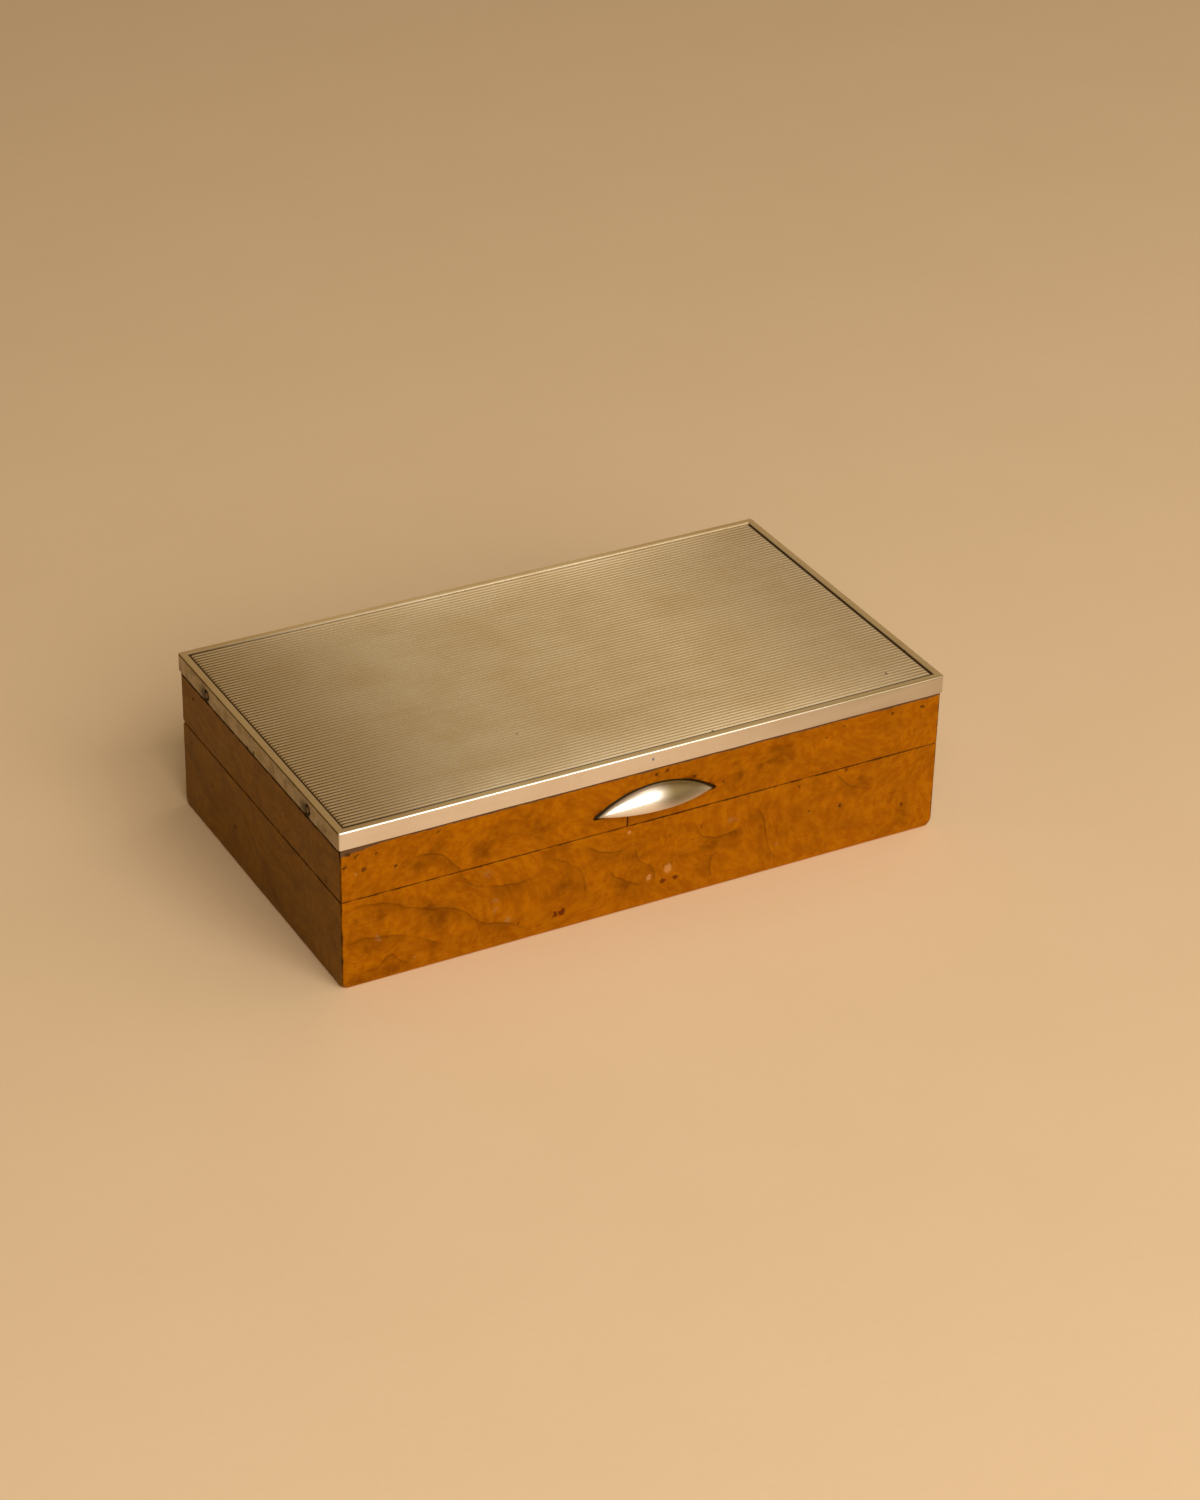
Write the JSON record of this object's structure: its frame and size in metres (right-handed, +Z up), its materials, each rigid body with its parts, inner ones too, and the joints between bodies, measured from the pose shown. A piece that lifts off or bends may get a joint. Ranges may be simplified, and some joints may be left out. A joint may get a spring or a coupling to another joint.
{
  "type": "wooden box",
  "caption": "Low wooden table box with a hinged lid under a reeded silver cover, a lens-shaped thumb piece on the front and a cedar lining.",
  "frame": {"origin": "middle of the underside, where the box rests on a table", "axes": "+X along the front from left to right, -Y out of the front with the thumb piece, +Z up"},
  "size_m": [0.2004, 0.1191, 0.053],
  "materials": {
    "figured_wood": "orange-brown figured wood, old polish with pits and scratches",
    "cedar": "plain unpolished cedar",
    "silver": "worn silver with warm tarnish in the hollows",
    "silver_pin": "dull silver pins",
    "brass": "aged brass"
  },
  "bodies": {
    "base": {"base_front_wall": "figured_wood", "base_back_wall": "figured_wood", "base_left_wall": "figured_wood", "base_right_wall": "figured_wood", "base_bottom_board": "figured_wood", "base_lining_floor": "cedar", "base_lining_front": "cedar", "base_lining_back": "cedar", "base_lining_left": "cedar", "base_lining_right": "cedar", "hinge_left_base_leaf": "brass", "hinge_left_pin": "brass", "hinge_right_base_leaf": "brass", "hinge_right_pin": "brass", "hinge_base_screws": "brass"},
    "lid": {"lid_front_wall": "figured_wood", "lid_back_wall": "figured_wood", "lid_left_wall": "figured_wood", "lid_right_wall": "figured_wood", "lid_top_board": "figured_wood", "lid_lining_panel": "cedar", "silver_cover": "silver", "thumb_piece": "silver", "cover_pins": "silver_pin", "thumb_pins": "silver_pin", "hinge_left_lid_leaf": "brass", "hinge_right_lid_leaf": "brass", "hinge_lid_screws": "brass"}
  },
  "joints": [
    {"name": "lid_hinge", "type": "hinge", "parent": "base", "child": "lid", "pos_m": [0, 0.0559, 0.0294], "axis": [-1, 0, 0], "range_deg": [0, 100]}
  ]
}
